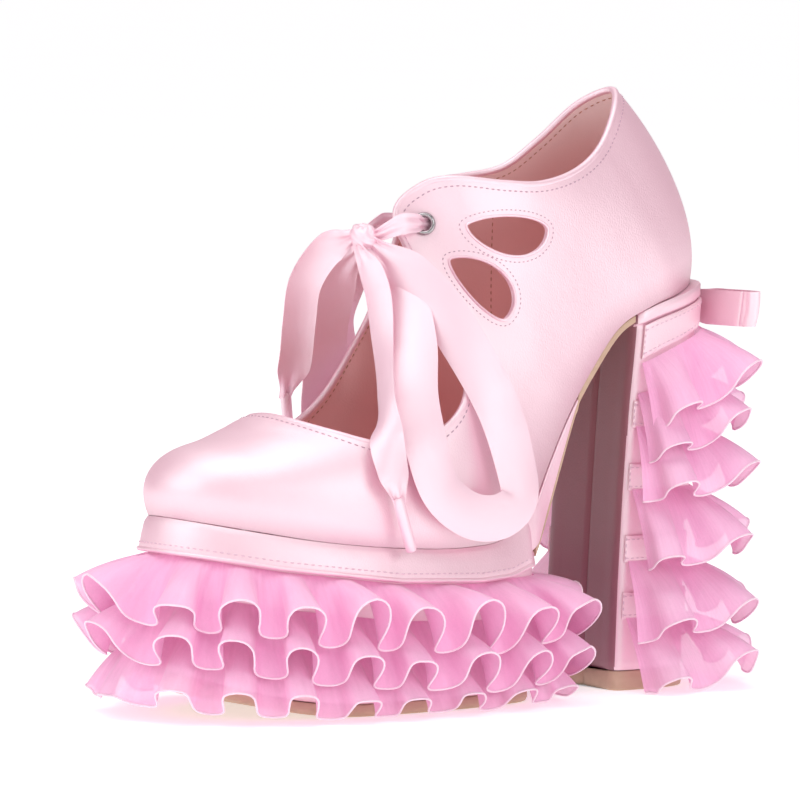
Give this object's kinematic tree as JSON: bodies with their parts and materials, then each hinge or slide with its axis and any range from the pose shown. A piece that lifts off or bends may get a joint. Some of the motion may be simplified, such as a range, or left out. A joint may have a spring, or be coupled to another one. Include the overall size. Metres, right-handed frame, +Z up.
{
  "type": "platform pump shoe",
  "caption": "Left high-heeled platform pump in pale pink satin, with tiers of organza ruffle round platform and heel, leaf cut-outs and a ribbon tied at the throat; worn on the foot",
  "frame": {"origin": "middle of the shoe's width on the outsole's flat bottom, at the ball of the foot, on the floor the shoe stands on", "axes": "+Z up; the toe points to -Y and the heel to +Y; +X is the wearer's left, the outer side of this left shoe"},
  "size_m": [0.1266, 0.2524, 0.2008],
  "materials": {
    "satin": "pale pink satin with a broad soft sheen",
    "organza": "thin sheer pink organza with a pale stitched hem",
    "tan_sole": "matt tan sole sheet",
    "lining": "dusty rose lining leather",
    "nickel": "polished nickel plate"
  },
  "bodies": {
    "root": {"platform": "satin", "arch_wing": "satin", "upper": "satin", "heel": "satin", "heel_strap": "satin", "heel_tape_1": "satin", "heel_tape_2": "satin", "heel_tape_3": "satin", "heel_tape_4": "satin", "heel_bow_knot": "satin", "heel_bow_loop_outer": "satin", "heel_bow_loop_inner": "satin", "ribbon_bar_outer": "satin", "ribbon_bar_inner": "satin", "ribbon_knot": "satin", "ribbon_tail_outer": "satin", "ribbon_tail_inner": "satin", "ribbon_loop_outer": "satin", "ribbon_loop_inner": "satin", "aglet_outer": "satin", "aglet_inner": "satin", "platform_ruffle_1": "organza", "platform_ruffle_2": "organza", "platform_ruffle_3": "organza", "heel_ruffle_1": "organza", "heel_ruffle_2": "organza", "heel_ruffle_3": "organza", "heel_ruffle_4": "organza", "heel_ruffle_5": "organza", "heel_ruffle_6": "organza", "outsole": "tan_sole", "arch_sole": "tan_sole", "heel_lift": "tan_sole", "insole": "lining", "eyelet_outer": "nickel", "eyelet_inner": "nickel"}
  },
  "joints": []
}
